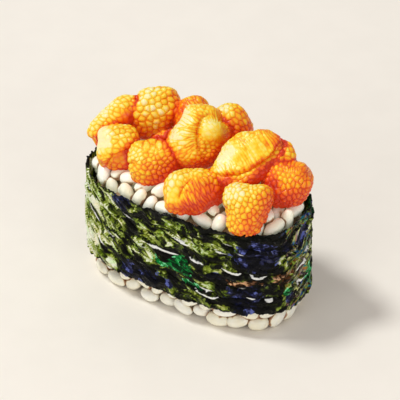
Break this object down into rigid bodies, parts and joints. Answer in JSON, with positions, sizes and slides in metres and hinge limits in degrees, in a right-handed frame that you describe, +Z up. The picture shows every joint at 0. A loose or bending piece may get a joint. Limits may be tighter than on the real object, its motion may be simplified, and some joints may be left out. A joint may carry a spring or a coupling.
{
  "type": "gunkan sushi",
  "caption": "Oval sushi: a rice ball wrapped in a seaweed band, heaped with plump granular sea urchin lobes.",
  "frame": {"origin": "the flat underside of the rice, under the middle of the band's oval", "axes": "+X along the oval's long axis, +Z up, the band's overlap on the +Y side"},
  "size_m": [0.0597, 0.0346, 0.0482],
  "materials": {
    "rice": "moist, slightly glossy white cooked rice",
    "nori": "dark green-black roasted seaweed with olive mottling and small glossy highlights",
    "urchin": "moist, granular, yellow to deep orange"
  },
  "bodies": {
    "root": {"rice": "rice", "nori": "nori", "lobe_front_right": "urchin", "lobe_front_middle": "urchin", "lobe_flap": "urchin", "lobe_curl": "urchin", "lobe_front_left": "urchin", "lobe_right": "urchin", "lobe_under_flap": "urchin", "lobe_left_fold": "urchin", "lobe_crown": "urchin", "lobe_crescent": "urchin", "lobe_back_right": "urchin", "lobe_back_left": "urchin", "lobe_back_corner": "urchin", "lobe_heart": "urchin"}
  },
  "joints": []
}
